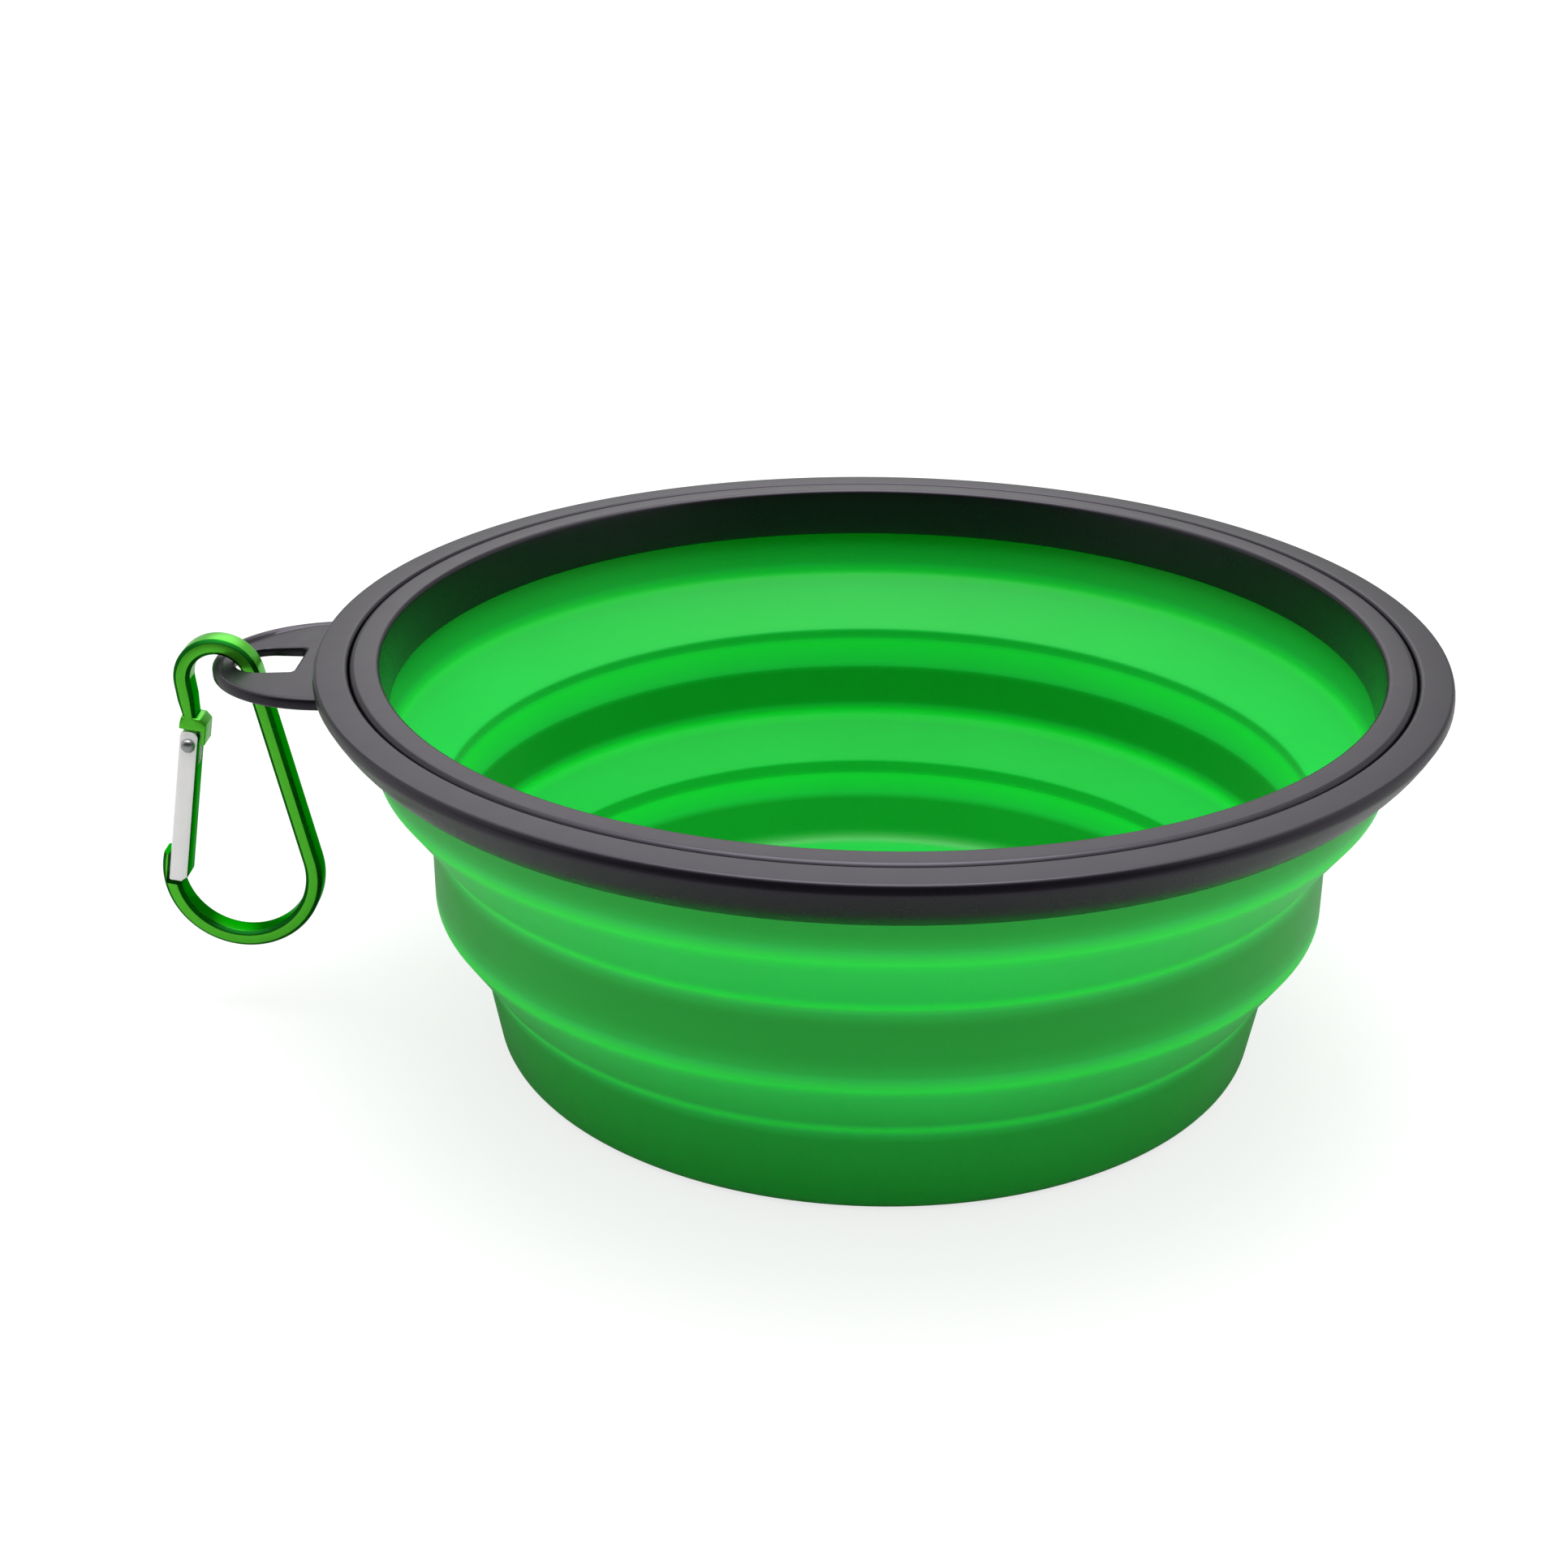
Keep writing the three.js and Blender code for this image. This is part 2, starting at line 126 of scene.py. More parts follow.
# Hang tab
TAB_TIP = 78.4
TAB_ROOT = 64.0
TAB_HALF = 13.0
TAB_BOTTOM = 43.1
TAB_TOP = 44.6
SLOT_END = 76.0
SLOT_START = 68.2
SLOT_HALF = 4.0
SLOT_CORNER = 0.8
TAB_TUCK = 0.7
TAB_EDGE = 0.45
TAB_RIDGE = 0.75
TAB_STEPS = 160
SLOT_EDGE = 0.25
SLOT_SOFTEN = 0.07
# Depth of the sunk face by distance from the bowl's axis
SUNK_DEPTH = [(69.0, 0.22), (75.0, 0.46)]
# Share of that depth by distance inside the ridge, and the flat strip beside the slot
RIDGE_SLOPE = [(0.0, 0.09), (0.22, 0.5), (0.42, 1), (0.55, 1)]
SLOT_LAND = [0.15, 0.02]

# Snap hook, in its own plane with its origin in the middle of the hook arc
HOOK_CENTRE = Vector((-78.1, 0.0, 41.952))
HOOK_RADIUS = 4.25
HOOK_TAIL = 6.0
WIRE_WIDTH = 2.0
WIRE_DEPTH = 3.2
WIRE_CORNER = 0.45
WIRE_SOFTEN = 0.22
# Share of the bar's width by distance from its end in the collar
NECK_PINCH = [(1.0, 0.78), (3.0, 1.0)]
STRAIGHT_STEPS = 12
BOW_STEP = 3.0
BOW_CENTRE = Vector((0.75, -25.4))
BOW_RADIUS = 8.8
BOW_END_RISE = 17.0
PIVOT = Vector((-4.15, -8.3))
GATE_WIDTH = 2.3
GATE_DEPTH = 3.2
GATE_HEAD = 1.75
GATE_HEAD_STEP = 8.0
GATE_CHAMFER = 0.7
GATE_INSET = 0.82
GATE_END_ANGLE = 7.0
GATE_END_GAP = 0.5
GATE_CLEARANCE = 0.28
GATE_EDGE = 0.22
TONGUE_THICKNESS = 0.8
TONGUE_REACH = 1.15
TONGUE_WIDTH = 2.0
COLLAR_HEIGHT = 1.6
COLLAR_TOP_WIDTH = 2.3
COLLAR_OVERHANG = 0.15
COLLAR_INNER_SHARE = 0.55
COLLAR_OUTER_SHARE = 0.4
COLLAR_EDGE = 0.16
EAR_THICKNESS = 0.5
EAR_LIFT = 0.3
RIVET_RADIUS = 0.5
RIVET_HEAD = 0.85
RIVET_PLAY = 0.25
RIVET_LIFT = 0.125
# Rivet head as (radius, height) points
RIVET_DOME = [(0.0, 0.45), (0.30, 0.43), (0.55, 0.36), (0.74, 0.24), (RIVET_HEAD, 0.08), (RIVET_HEAD, 0.0)]
SLOT_DEPTH = 1.5
BORE_RADIUS = 0.8
BORE_DEPTH = 7.6
PLUNGER_RADIUS = 0.5
PLUNGER_TOP = -1.4
PLUNGER_LENGTH = 1.3
PLUNGER_DOME = 0.25
PLUNGER_FLAT_SHARE = 0.6
PLUNGER_FOOT_ROUND = 0.08
PLUNGER_TOP_ROUND = 0.1
SPRING_RADIUS = 0.46
SPRING_WIRE = 0.22
SPRING_TURNS = 6
SPRING_TOP = -2.935
SPRING_BOTTOM = -10.015
SPRING_STEPS = 28
SPRING_SIDES = 10
PIN_SEGMENTS = 32
CUT_MARGIN = 2.0

# Camera fitted to the photograph: yaw, pitch and roll in degrees, focal length and picture width in pixels
CAMERA_PLACE = (0.0, -264.0, 146.88)
CAMERA_TURNS = (-2.4075, 23.95, 0.159)
CAMERA_FOCAL = 2979.4
CAMERA_PICTURE = 1932
CAMERA_SENSOR = 36.0

# Stage and light: the floor's own sizes are in metres
FLOOR_SIZE = 6.0
FLOOR_DROP = 0.0002
FLOOR_PALE = 0.86
FLOOR_FRONT = -0.20
FLOOR_BACK = -0.10
FLOOR_FRONT_TONE = 0.03
FLOOR_BACK_TONE = 0.36
FLOOR_GLOW = 1.06
FLOOR_GLOW_SHARE = 0.72
PANEL_WAY = (-0.043, 0.823, 0.566)


def lerp_table(table, x):
    """Straight-line reading of a list of (place, value) pairs."""
    if x <= table[0][0]:
        return table[0][1]
    for (x0, y0), (x1, y1) in zip(table, table[1:]):
        if x <= x1:
            return y0 + (y1 - y0) * (x - x0) / (x1 - x0)
    return table[-1][1]


def rounded(points, steps=7):
    """A line through (across, up, corner radius) points, with its corners rounded."""
    line = []
    for i, (x, y, radius) in enumerate(points):
        here = Vector((x, y))
        if radius == 0 or i in (0, len(points) - 1):
            line.append(here)
            continue
        before = (Vector(points[i - 1][:2]) - here).normalized()
        after = (Vector(points[i + 1][:2]) - here).normalized()
        half = before.angle(after) / 2
        reach = radius / math.tan(half)
        start, end = here + before * reach, here + after * reach
        middle = here + (before + after).normalized() * (radius / math.sin(half))
        for k in range(steps + 1):
            blend = start.lerp(end, k / steps) - middle
            line.append(middle + blend.normalized() * radius)
    return line


def dense(line, step):
    """The same line with no stretch longer than step."""
    out = [line[0]]
    for a, b in zip(line, line[1:]):
        count = max(1, math.ceil((b - a).length / step))
        out.extend(a.lerp(b, k / count) for k in range(1, count + 1))
    return out


def finish_mesh(name, verts, faces, material, uvs=None, sharp=35.0):
    """A smooth-shaded object from points in millimetres, with its faces turned outward."""
    mesh = bpy.data.meshes.new(name)
    mesh.from_pydata([Vector(v) * MM for v in verts], [], faces)
    if uvs is not None:
        layer = mesh.uv_layers.new(name="UVMap")
        layer.data.foreach_set("uv", [c for uv in uvs for c in uv])
    bm = bmesh.new()
    bm.from_mesh(mesh)
    bmesh.ops.recalc_face_normals(bm, faces=bm.faces)
    bm.to_mesh(mesh)
    bm.free()
    mesh.polygons.foreach_set("use_smooth", [True] * len(mesh.polygons))
    mesh.set_sharp_from_angle(angle=math.radians(sharp))
    mesh.materials.append(material)
    obj = bpy.data.objects.new(name, mesh)
    bpy.context.scene.collection.objects.link(obj)
    return obj


def lathe(name, line, material, painted_light=None, closed=True, segments=SEGMENTS, sharp=35.0):
    """Turns a line of (radius, height) points about Z.

    A painted light level for each point goes into the UV map's second value.
    """
    verts, rings = [], []
    for point in line:
        if point.x < 1e-6:
            rings.append([len(verts)])
            verts.append((0, 0, point.y))
            continue
        rings.append(list(range(len(verts), len(verts) + segments)))
        for s in range(segments):
            angle = 2 * math.pi * s / segments
            verts.append((point.x * math.cos(angle), point.x * math.sin(angle), point.y))
    painted_light = painted_light or [0.0] * len(line)
    faces, uvs = [], []
    last = len(line) if closed else len(line) - 1
    for i in range(last):
        j = (i + 1) % len(line)
        low, high = rings[i], rings[j]
        if len(low) == 1 and len(high) == 1:
            continue
        for s in range(segments):
            t = (s + 1) % segments
            u0, u1 = s / segments, (s + 1) / segments
            if len(low) == 1:
                faces.append((low[0], high[t], high[s]))
                uvs += [(u0, painted_light[i]), (u1, painted_light[j]), (u0, painted_light[j])]
            elif len(high) == 1:
                faces.append((low[s], low[t], high[0]))
                uvs += [(u0, painted_light[i]), (u1, painted_light[i]), (u0, painted_light[j])]
            else:
                faces.append((low[s], low[t], high[t], high[s]))
                uvs += [(u0, painted_light[i]), (u1, painted_light[i]), (u1, painted_light[j]), (u0, painted_light[j])]
    return finish_mesh(name, verts, faces, material, uvs, sharp)


def rod(radius, low, high):
    """Line of a plain cylinder for the lathe."""
    return [Vector((0, low)), Vector((radius, low)), Vector((radius, high)), Vector((0, high))]


def prism(name, outline, depth, material, bevel=0.0):
    """A solid of the given depth from an outline drawn across and up, centred on the hook's plane."""
    half = depth / 2
    n = len(outline)
    verts = [(x, -half, z) for x, z in outline] + [(x, half, z) for x, z in outline]
    faces = [tuple(range(n)), tuple(reversed(range(n, 2 * n)))]
    faces += [(i, (i + 1) % n, n + (i + 1) % n, n + i) for i in range(n)]
    obj = finish_mesh(name, verts, faces, material)
    if bevel:
        edge = obj.modifiers.new("edge", "BEVEL")
        edge.width = bevel * MM
        edge.segments = 3
        edge.limit_method = "ANGLE"
        edge.angle_limit = math.radians(25)
        apply_modifiers(obj)
    return obj


def apply_modifiers(obj):
    """Turns an object's modifiers into its own mesh."""
    graph = bpy.context.evaluated_depsgraph_get()
    mesh = bpy.data.meshes.new_from_object(obj.evaluated_get(graph))
    old = obj.data
    obj.modifiers.clear()
    obj.data = mesh
    bpy.data.meshes.remove(old)


def cut(obj, tool, operation="DIFFERENCE"):
    """Cuts the tool out of the object, or joins it on, and removes the tool."""
    step = obj.modifiers.new("cut", "BOOLEAN")
    step.operation = operation
    step.object = tool
    step.solver = "EXACT"
    apply_modifiers(obj)
    bpy.data.objects.remove(tool)


def settle(obj, sharp=32.0):
    """Smooth shading with crisp edges after cuts."""
    obj.data.polygons.foreach_set("use_smooth", [True] * len(obj.data.polygons))
    obj.data.set_sharp_from_angle(angle=math.radians(sharp))


# Materials


def blank(name):
    """A new material with its nodes, links and main shader."""
    material = bpy.data.materials.new(name)
    material.use_nodes = True
    nodes, links = material.node_tree.nodes, material.node_tree.links
    return material, nodes, links, nodes["Principled BSDF"]


def noise(nodes, links, scale, detail=3.0):
    """Soft noise from 0 to 1, fixed to the object."""
    place = nodes.new("ShaderNodeTexCoord")
    texture = nodes.new("ShaderNodeTexNoise")
    texture.inputs["Scale"].default_value = scale
    texture.inputs["Detail"].default_value = detail
    links.new(place.outputs["Object"], texture.inputs["Vector"])
    return texture.outputs["Fac"]


def span(nodes, links, value, low, high):
    """Maps a 0 to 1 value onto low to high."""
    step = nodes.new("ShaderNodeMapRange")
    step.inputs["To Min"].default_value = low
    step.inputs["To Max"].default_value = high
    links.new(value, step.inputs["Value"])
    return step.outputs["Result"]


def bump(nodes, links, height, strength, distance):
    """A normal tilted by a height; distance in metres."""
    step = nodes.new("ShaderNodeBump")
    step.inputs["Strength"].default_value = strength
    step.inputs["Distance"].default_value = distance
    links.new(height, step.inputs["Height"])
    return step.outputs["Normal"]


def ramp(nodes, links, value, stops):
    """A colour ramp through (place, colour) stops."""
    step = nodes.new("ShaderNodeValToRGB")
    band = step.color_ramp
    while len(band.elements) < len(stops):
        band.elements.new(0.5)
    for element, (place, colour) in zip(band.elements, stops):
        element.position = place
        element.color = (*colour, 1.0)
    links.new(value, step.inputs["Fac"])
    return step.outputs["Color"]


def shade(nodes, links, colour, factor):
    """Multiplies a colour by a grey value."""
    step = nodes.new("ShaderNodeMix")
    step.data_type = "RGBA"
    step.blend_type = "MULTIPLY"
    step.inputs["Factor"].default_value = 1.0
    links.new(colour, step.inputs["A"])
    links.new(factor, step.inputs["B"])
    return step.outputs["Result"]


def silicone():
    """Green silicone with painted light and shade: deep in the thick bands, lighter in the webs and brightest
    where it thins at a fold, a painted glow of light through the thin silicone.
    """
    material, nodes, links, shader = blank("green_silicone")
    place = nodes.new("ShaderNodeUVMap")
    place.uv_map = "UVMap"
    parts = nodes.new("ShaderNodeSeparateXYZ")
    links.new(place.outputs["UV"], parts.inputs["Vector"])
    # Painted light and shade from the UV map's second value: dark thick bands, lighter webs, glowing folds.
    colour = ramp(nodes, links, parts.outputs["Y"], [
        (0.0, (0.002, 0.342, 0.022)),
        (0.5, (0.010, 0.550, 0.062)),
        (1.0, (0.006, 0.740, 0.046)),
    ])
    mottle = span(nodes, links, noise(nodes, links, scale=55.0), low=0.94, high=1.06)
    links.new(shade(nodes, links, colour, mottle), shader.inputs["Base Color"])
    roughness = span(nodes, links, noise(nodes, links, scale=240.0), low=0.36, high=0.46)
    links.new(roughness, shader.inputs["Roughness"])
    grain = noise(nodes, links, scale=2600.0, detail=2.0)
    links.new(bump(nodes, links, grain, strength=0.12, distance=0.00005), shader.inputs["Normal"])
    shader.inputs["Specular IOR Level"].default_value = 0.27
    shader.inputs["Sheen Weight"].default_value = 0.06
    shader.inputs["Sheen Roughness"].default_value = 0.4
    shader.inputs["Sheen Tint"].default_value = (0.82, 1.0, 0.85, 1)
    return material


def black_plastic():
    """Black moulded plastic with a satin skin."""
    material, nodes, links, shader = blank("black_plastic")
    colour = ramp(nodes, links, noise(nodes, links, scale=70.0), [
        (0.0, (0.0034, 0.0028, 0.0046)),
        (1.0, (0.0050, 0.0042, 0.0066)),
    ])
    links.new(colour, shader.inputs["Base Color"])
    roughness = span(nodes, links, noise(nodes, links, scale=320.0), low=0.24, high=0.33)
    links.new(roughness, shader.inputs["Roughness"])
    grain = noise(nodes, links, scale=3000.0, detail=2.0)
    links.new(bump(nodes, links, grain, strength=0.012, distance=0.00004), shader.inputs["Normal"])
    shader.inputs["Specular IOR Level"].default_value = 0.5
    shader.inputs["Specular Tint"].default_value = (0.93, 0.84, 1.0, 1)
    return material


def metal(name, dark, light, rough_low, rough_high, metallic=1.0, edge=(1.0, 1.0, 1.0)):
    """Metal with a faint grain; edge tints glancing reflections, metallic below 1 gives a milky finish."""
    material, nodes, links, shader = blank(name)
    colour = ramp(nodes, links, noise(nodes, links, scale=300.0), [(0.0, dark), (1.0, light)])
    links.new(colour, shader.inputs["Base Color"])
    roughness = span(nodes, links, noise(nodes, links, scale=700.0), rough_low, rough_high)
    links.new(roughness, shader.inputs["Roughness"])
    grain = noise(nodes, links, scale=4000.0, detail=2.0)
    links.new(bump(nodes, links, grain, strength=0.05, distance=0.00003), shader.inputs["Normal"])
    shader.inputs["Metallic"].default_value = metallic
    shader.inputs["Specular Tint"].default_value = (*edge, 1)
    return material


SILICONE = silicone()
PLASTIC = black_plastic()
GREEN_EDGE = (0.12, 0.85, 0.15)
ANODISED = metal(
    "green_anodised", dark=(0.085, 0.58, 0.024), light=(0.105, 0.64, 0.032),
    rough_low=0.20, rough_high=0.27, metallic=0.7,
)
# Darker copies of the anodised green: painted shade for faces turned away from the light.
PAINTED_SHADE_SIDE_GREEN = metal(
    "green_anodised_painted_shade_side", dark=(0.016, 0.21, 0.012), light=(0.022, 0.26, 0.017),
    rough_low=0.18, rough_high=0.26, edge=GREEN_EDGE,
)
PAINTED_SHADE_DEEP_GREEN = metal(
    "green_anodised_painted_shade_deep", dark=(0.004, 0.100, 0.008), light=(0.006, 0.135, 0.012),
    rough_low=0.24, rough_high=0.32, metallic=0.85, edge=GREEN_EDGE,
)
GATE_METAL = metal(
    "gate_metal", dark=(0.86, 0.82, 0.84), light=(0.93, 0.89, 0.91),
    rough_low=0.26, rough_high=0.34, metallic=0.25,
)
STEEL = metal(
    "plain_steel", dark=(0.42, 0.42, 0.43), light=(0.52, 0.52, 0.53),
    rough_low=0.28, rough_high=0.36,
)


# Silicone shell, in two pieces that meet in the middle band

# Painted light and shade of the shell by height, outside and inside: 0 in the thick bands, in painted shade,
# 1 where a fold thins it, with painted light through the thin silicone
OUTER_PAINTED_LIGHT = [
    (0.0, 0.0), (9.6, 0.02), (10.6, 0.35), (11.2, 1.0), (11.6, 0.9), (12.3, 0.30), (17.4, 0.42),
    (18.3, 0.62), (19.1, 1.0), (19.7, 0.8), (20.8, 0.25), (22.5, 0.04), (26.6, 0.0), (27.9, 0.35),
    (28.6, 1.0), (29.1, 0.9), (29.9, 0.48), (35.0, 0.50), (36.0, 0.70), (36.8, 1.0), (37.5, 0.75),
    (38.6, 0.25), (40.0, 0.05), (46.0, 0.0),
]
INNER_PAINTED_LIGHT = [
    (2.0, 0.35), (2.2, 0.20), (2.6, 0.0), (7.7, 0.0), (8.4, 0.55), (10.6, 0.95), (11.0, 0.85),
    (11.4, 0.45), (12.6, 0.42), (13.0, 0.55), (17.4, 0.55), (18.2, 0.85), (18.9, 1.0), (19.5, 0.6),
    (20.3, 0.0), (25.0, 0.0), (25.7, 0.55), (28.6, 0.95), (29.1, 0.80), (29.5, 0.42), (30.3, 0.42),
    (30.8, 0.55), (36.0, 0.55), (36.8, 0.90), (37.4, 0.78), (38.4, 0.30), (40.2, 0.36),
    (46.0, 0.42),
]


def shell_piece(name, outer, inner, closed):
    """A turned piece of the shell from the lines of its outer and inner faces."""
    outer = dense(rounded(outer), SHELL_STEP)
    inner = dense(rounded(inner), SHELL_STEP)
    painted_light = [lerp_table(OUTER_PAINTED_LIGHT, p.y) for p in outer] + [lerp_table(INNER_PAINTED_LIGHT, p.y) for p in inner]
    return lathe(name, outer + inner, SILICONE, painted_light, closed, sharp=60.0)


shell_lower = shell_piece(
    "shell_lower",
    [
        (0, 0, 0),
        (BASE_RADIUS, 0, FLOOR_EDGE),
        (BASE_TOP_RADIUS, BASE_TOP, FOLD_START_ROUND),
        (MIDDLE_RADIUS, LOWER_FOLD_TOP, FOLD_END_ROUND),
        (MIDDLE_RADIUS, SPLIT, 0),
    ],
    [
        (MIDDLE_RADIUS - BAND_WALL, SPLIT, 0),
        (MIDDLE_RADIUS - BAND_WALL, LOWER_FOLD_TOP - LOWER_BAND_DROP, BAND_ROUND),
        (BASE_TOP_RADIUS - WALL + LIP_INSET, BASE_TOP + FOLD_LIP - LOWER_STEP_DROP, LIP_ROUND),
        (BASE_TOP_RADIUS - WALL, BASE_TOP - LOWER_STEP_DROP, STEP_ROUND),
        (BASE_TOP_RADIUS - BAND_WALL, BASE_TOP - SHOULDER, SHOULDER_ROUND),
        (BASE_RADIUS - BAND_WALL, FLOOR, FLOOR_FILLET),
        (0, FLOOR, 0),
    ],
    closed=False,
)
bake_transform(shell_lower)
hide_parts("base_cup", "lower_fold_web", "middle_band")

shell_upper = shell_piece(
    "shell_upper",
    [
        (MIDDLE_RADIUS, SPLIT, 0),
        (MIDDLE_RADIUS, MIDDLE_TOP, FOLD_START_ROUND),
        (UPPER_RADIUS, UPPER_FOLD_TOP, FOLD_END_ROUND),
        (NECK_RADIUS, NECK_BOTTOM, NECK_ROUND),
        (NECK_RADIUS, BEAD_BOTTOM, BEAD_INNER_ROUND),
        (BEAD_RADIUS, BEAD_BOTTOM, BEAD_ROUND),
        (BEAD_RADIUS, BEAD_TOP, BEAD_ROUND),
        (BEAD_RADIUS - BEAD_LAND, BEAD_TOP, 0),
    ],
    [
        (NECK_RADIUS - WALL + NECK_LAND, BEAD_TOP, 0),
        (NECK_RADIUS - WALL, BEAD_TOP, BEAD_ROUND),
        (NECK_RADIUS - WALL, NECK_BOTTOM, NECK_ROUND),
        (UPPER_RADIUS - WALL, UPPER_FOLD_TOP + UPPER_BAND_RISE, BAND_ROUND),
        (MIDDLE_RADIUS - WALL + LIP_INSET, MIDDLE_TOP + FOLD_LIP, LIP_ROUND),
        (MIDDLE_RADIUS - WALL, MIDDLE_TOP + UPPER_STEP_RISE, STEP_ROUND),
        (MIDDLE_RADIUS - BAND_WALL, MIDDLE_TOP - SHOULDER, SHOULDER_ROUND),
        (MIDDLE_RADIUS - BAND_WALL, SPLIT, 0),
    ],
    closed=True,
)
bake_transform(shell_upper)
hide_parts("upper_fold_web", "upper_band")


# Rim rings


def bend(start, control, end, steps):
    """Points of a simple curve from start to end, drawn toward its control point."""
    a, b, c = Vector(start), Vector(control), Vector(end)
    return [a.lerp(b, k / steps).lerp(b.lerp(c, k / steps), k / steps) for k in range(steps + 1)]


LIP = NECK_RADIUS + RIM_LIP
RIM_SHOULDER = RIM_TOP - RIM_TOP_DROP
seam_out = SEAM_RADIUS + SEAM_GAP / 2
seam_in = SEAM_RADIUS - SEAM_GAP / 2
rim_crest = RIM_RADIUS - RIM_TOP_EDGE
outer_line = bend(
    (LIP, RIM_BOTTOM), (LIP + RIM_FLANK_WIDTH, RIM_BOTTOM + RIM_FLANK_RISE), (RIM_RADIUS, RIM_EDGE), steps=14,
)
outer_line += bend(
    (RIM_RADIUS, RIM_EDGE), (RIM_RADIUS, RIM_SHOULDER), (rim_crest, RIM_SHOULDER), steps=10,
)[1:]
outer_line += rounded([
    (rim_crest - RIM_TOP_START, RIM_SHOULDER + RIM_TOP_START_RISE, 0),
    (seam_out, RIM_TOP, RIM_SEAM_ROUND),
    (seam_out, BEAD_TOP + CLAMP_GAP, 0),
    (BEAD_RADIUS + CLAMP_GAP, BEAD_TOP, 0),
    (BEAD_RADIUS + CLAMP_GAP, BEAD_BOTTOM - CLAMP_GAP, 0),
    (NECK_RADIUS + CLAMP_GAP, BEAD_BOTTOM - CLAMP_GAP, 0),
    (NECK_RADIUS + CLAMP_GAP, RIM_BOTTOM, RIM_LIP_ROUND),
    (LIP - RIM_LIP_LAND, RIM_BOTTOM, 0),
])
rim_outer = lathe("rim_outer_ring_skin", outer_line, PLASTIC, sharp=38.0)
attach(rim_outer, "rim")
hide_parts("rim_outer_ring")

SKIRT_OUT = NECK_RADIUS - WALL - CLAMP_GAP
SKIRT_IN = SKIRT_OUT - SKIRT_THICKNESS
SKIRT_BOTTOM = RIM_BOTTOM + SKIRT_LIFT
inner_line = rounded([
    (SKIRT_IN + SKIRT_FOOT_START, SKIRT_BOTTOM, 0),
    (SKIRT_OUT, SKIRT_BOTTOM, SKIRT_OUTER_ROUND),
    (SKIRT_OUT, BEAD_TOP + CLAMP_GAP, 0),
    (seam_in, BEAD_TOP + CLAMP_GAP, 0),
    (seam_in, RIM_TOP, COVER_SEAM_ROUND),
    (SKIRT_IN + SKIRT_LEAN, RIM_TOP, SKIRT_TOP_ROUND),
    (SKIRT_IN, SKIRT_BOTTOM, SKIRT_INNER_ROUND),
    (SKIRT_IN + SKIRT_FOOT_END, SKIRT_BOTTOM, 0),
], steps=9)
rim_inner = lathe("rim_inner_ring_skin", dense(inner_line, SKIRT_STEP), PLASTIC, sharp=38.0)
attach(rim_inner, "rim")
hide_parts("rim_inner_ring")


# Hang tab: a plate with a raised edge, lofted between its slot and its outline


def reach(inside, origin, turn, far=30.0):
    """How far a ray from origin stays inside a convex outline."""
    low, high = 0.0, far
    step = Vector((math.cos(turn), math.sin(turn)))
    for _ in range(40):
        middle = (low + high) / 2
        if inside(origin + step * middle):
            low = middle
        else:
            high = middle
    return low


def in_tab(point):
    """Inside the tab's outline, a half ellipse whose root is tucked into the outer ring."""
    if point.length < SEAM_RADIUS + TAB_TUCK:
        return False
    if point.x > -TAB_ROOT:
        return abs(point.y) < TAB_HALF
    return ((point.x + TAB_ROOT) / (TAB_TIP - TAB_ROOT)) ** 2 + (point.y / TAB_HALF) ** 2 < 1


def in_slot(point):
    """Inside the slot, with a round end at the tip and small corners at the root."""
    if point.x > -SLOT_START or abs(point.y) > SLOT_HALF:
        return False
    nose = Vector((-SLOT_END + SLOT_HALF, 0))
    if point.x < nose.x:
        return (point - nose).length < SLOT_HALF
    corner = Vector((-SLOT_START - SLOT_CORNER, math.copysign(SLOT_HALF - SLOT_CORNER, point.y)))
    if point.x > corner.x and abs(point.y) > abs(corner.y):
        return (point - corner).length < SLOT_CORNER
    return True


def quarter(across, up, radius, start, steps=4):
    """Points of a quarter round as (distance from the edge, height)."""
    turns = [math.radians(start + 90 * k / steps) for k in range(steps + 1)]
    return [(across + radius * math.cos(t), up + radius * math.sin(t)) for t in turns]


def tab_section():
    """Points round the plate's section.

    Each gives its edge (1 the outline, 0 the slot), its distance in from that edge, its height and its
    share of the sunk depth.
    """
    outline = [(1, -d, z, 0) for d, z in quarter(-TAB_EDGE, TAB_BOTTOM + TAB_EDGE, TAB_EDGE, -90)]
    outline += [(1, -d, z, 0) for d, z in quarter(-TAB_EDGE, TAB_TOP - TAB_EDGE, TAB_EDGE, 0)]
    outline += [(1, TAB_RIDGE + past, TAB_TOP, share) for past, share in RIDGE_SLOPE]
    slot = [(0, SLOT_EDGE + past, TAB_TOP, 1) for past in SLOT_LAND]
    slot += [(0, SLOT_SOFTEN, TAB_TOP - SLOT_SOFTEN, 1), (0, 0, TAB_TOP - SLOT_EDGE, 1)]
    slot += [(0, 0, TAB_BOTTOM + SLOT_EDGE, 0), (0, SLOT_SOFTEN, TAB_BOTTOM + SLOT_SOFTEN, 0)]
    slot.append((0, SLOT_EDGE, TAB_BOTTOM, 0))
    return outline + slot


